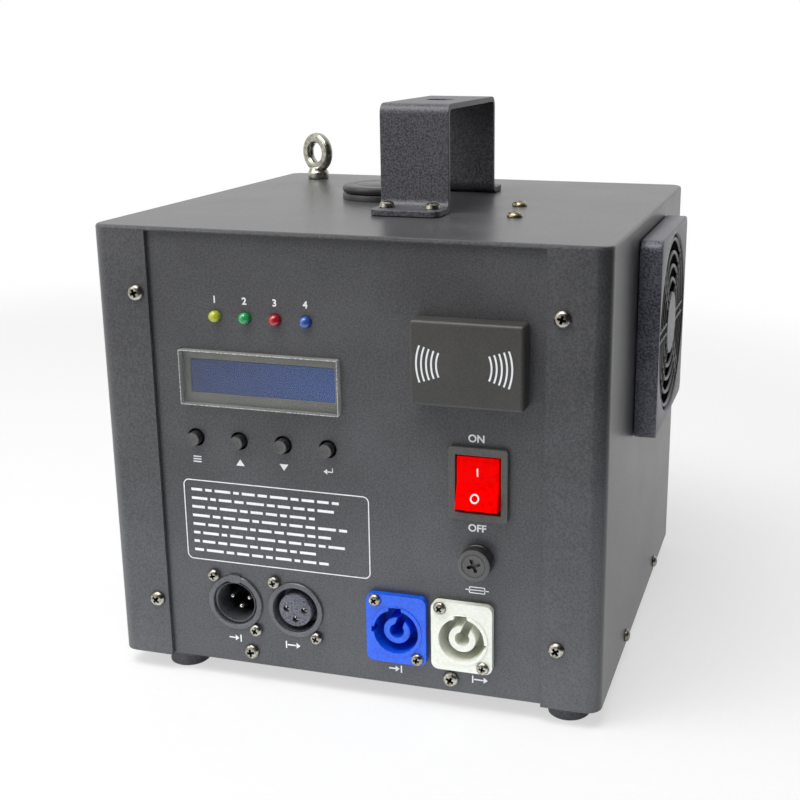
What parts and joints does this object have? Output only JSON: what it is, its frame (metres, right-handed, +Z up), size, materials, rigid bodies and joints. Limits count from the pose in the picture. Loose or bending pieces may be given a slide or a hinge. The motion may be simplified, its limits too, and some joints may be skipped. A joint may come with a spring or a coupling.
{
  "type": "stage spark machine",
  "caption": "Box-shaped stage spark machine with a feed hopper, spark outlet and carry handle on top, side fans, and a front panel with display, buttons, switch and cable sockets.",
  "frame": {"origin": "on the floor under the middle of the machine's outer box, feet included", "axes": "+Z up, -Y out of the front panel with the display and sockets, +X to the right seen from the front"},
  "size_m": [0.24, 0.2192, 0.249],
  "materials": {
    "powder_coated_steel": "satin fine-texture powder coat",
    "textured_handle_steel": "coarse-texture powder coat",
    "nickel_plated_steel": "bright nickel plate",
    "stainless_steel": "brushed",
    "machined_steel": "machined, zinc plated",
    "black_rubber": "moulded matt",
    "grained_black_plastic": "leather-grain moulded",
    "black_plastic": "smooth moulded",
    "remote_box_plastic": "fine moulded satin",
    "gear_plastic": "natural moulded",
    "black_zinc_shell": "black plated zinc die casting",
    "blue_plastic": "smooth moulded",
    "pale_plastic": "smooth moulded",
    "red_clear_plastic": "clear red moulded",
    "clear_acrylic": "polished",
    "display_module": "blue display glass in a metal frame",
    "circuit_board": "solder mask",
    "yellow_lamp": "tinted clear",
    "green_lamp": "tinted clear",
    "red_lamp": "tinted clear",
    "blue_lamp": "tinted clear",
    "fuse_glass": "clear with plated ends",
    "insulation_sleeve": "woven glass fibre",
    "aluminium_case": "plain sheet"
  },
  "bodies": {
    "case": {"base_tray": "powder_coated_steel", "blower_housing": "black_plastic", "button_board": "circuit_board", "carry_handle": "textured_handle_steel", "control_board": "circuit_board", "cover": "powder_coated_steel", "dmx_in_insert": "black_plastic", "dmx_in_shell": "black_zinc_shell", "dmx_out_insert": "black_plastic", "dmx_out_shell": "black_zinc_shell", "error_led": "red_lamp", "eye_bolt": "nickel_plated_steel", "eye_bolt_nut": "nickel_plated_steel", "feed_barrel": "stainless_steel", "feed_bracket": "machined_steel", "feed_motor": "machined_steel", "front_left_foot": "black_rubber", "front_panel": "powder_coated_steel", "front_right_foot": "black_rubber", "fuse_holder": "black_plastic", "handle_screw_front_left": "nickel_plated_steel", "handle_screw_front_right": "nickel_plated_steel", "handle_screw_rear_left": "nickel_plated_steel", "handle_screw_rear_right": "nickel_plated_steel", "heat_led": "yellow_lamp", "heater_sleeve": "insulation_sleeve", "hopper": "stainless_steel", "lcd_module": "display_module", "lcd_window": "clear_acrylic", "left_fan_frame": "black_plastic", "left_fan_guard": "grained_black_plastic", "ok_led": "blue_lamp", "outlet_nozzle": "stainless_steel", "power_in_socket": "blue_plastic", "power_out_socket": "pale_plastic", "power_supply": "aluminium_case", "ready_led": "green_lamp", "rear_left_foot": "black_rubber", "rear_panel": "powder_coated_steel", "rear_right_foot": "black_rubber", "receiver_board": "circuit_board", "remote_receiver": "remote_box_plastic", "right_fan_frame": "black_plastic", "right_fan_guard": "grained_black_plastic", "spark_chamber": "stainless_steel", "switch_body": "black_plastic"},
    "lid": {"hopper_cap": "black_plastic"},
    "feed": {"feed_screw": "machined_steel", "screw_gear": "gear_plastic"},
    "feed_drive": {"drive_gear": "machined_steel"},
    "blower_wheel": {"blower_impeller": "black_plastic"},
    "right_fan": {"right_fan_rotor": "black_plastic"},
    "left_fan": {"left_fan_rotor": "black_plastic"},
    "menu": {"menu_button": "black_plastic"},
    "up": {"up_button": "black_plastic"},
    "down": {"down_button": "black_plastic"},
    "enter": {"enter_button": "black_plastic"},
    "rocker": {"power_rocker": "red_clear_plastic"},
    "fuse": {"glass_fuse": "fuse_glass"},
    "fuse_knob": {"fuse_cap": "black_plastic"}
  },
  "joints": [
    {"name": "lid_lift", "type": "slide", "parent": "case", "child": "lid", "axis": [0, 0, 1], "range_m": [0, 0.03]},
    {"name": "feed_turn", "type": "hinge", "parent": "case", "child": "feed", "pos_m": [-0.02149, -0.0299, 0.118], "axis": [0, 1, 0], "continuous": true},
    {"name": "drive_turn", "type": "hinge", "parent": "case", "child": "feed_drive", "pos_m": [-0.02149, -0.0299, 0.0925], "axis": [0, 1, 0], "continuous": true},
    {"name": "blower_turn", "type": "hinge", "parent": "case", "child": "blower_wheel", "pos_m": [-0.02149, 0.0506, 0.0448], "axis": [1, 0, 0], "continuous": true},
    {"name": "right_fan_turn", "type": "hinge", "parent": "case", "child": "right_fan", "pos_m": [0.11, 0.00581, 0.151], "axis": [1, 0, 0], "continuous": true},
    {"name": "left_fan_turn", "type": "hinge", "parent": "case", "child": "left_fan", "pos_m": [-0.11, 0.00581, 0.151], "axis": [-1, 0, 0], "continuous": true},
    {"name": "menu_press", "type": "slide", "parent": "case", "child": "menu", "axis": [0, 1, 0], "range_m": [0, 0.0015], "stiffness_N_per_m": 500, "springref_m": -0.001},
    {"name": "up_press", "type": "slide", "parent": "case", "child": "up", "axis": [0, 1, 0], "range_m": [0, 0.0015], "stiffness_N_per_m": 500, "springref_m": -0.001},
    {"name": "down_press", "type": "slide", "parent": "case", "child": "down", "axis": [0, 1, 0], "range_m": [0, 0.0015], "stiffness_N_per_m": 500, "springref_m": -0.001},
    {"name": "enter_press", "type": "slide", "parent": "case", "child": "enter", "axis": [0, 1, 0], "range_m": [0, 0.0015], "stiffness_N_per_m": 500, "springref_m": -0.001},
    {"name": "switch_rock", "type": "hinge", "parent": "case", "child": "rocker", "pos_m": [0.05811, -0.0994, 0.1035], "axis": [1, 0, 0], "range_deg": [0, 20]},
    {"name": "fuse_pull", "type": "slide", "parent": "case", "child": "fuse", "axis": [0, -1, 0], "range_m": [0, 0.03]},
    {"name": "fuse_knob_turn", "type": "hinge", "parent": "fuse", "child": "fuse_knob", "pos_m": [0.05751, -0.1006, 0.0702], "axis": [0, -1, 0], "range_deg": [0, 45]}
  ],
  "couplings": [
    {"joint": "drive_turn", "follows": "feed_turn", "ratio": -2}
  ]
}
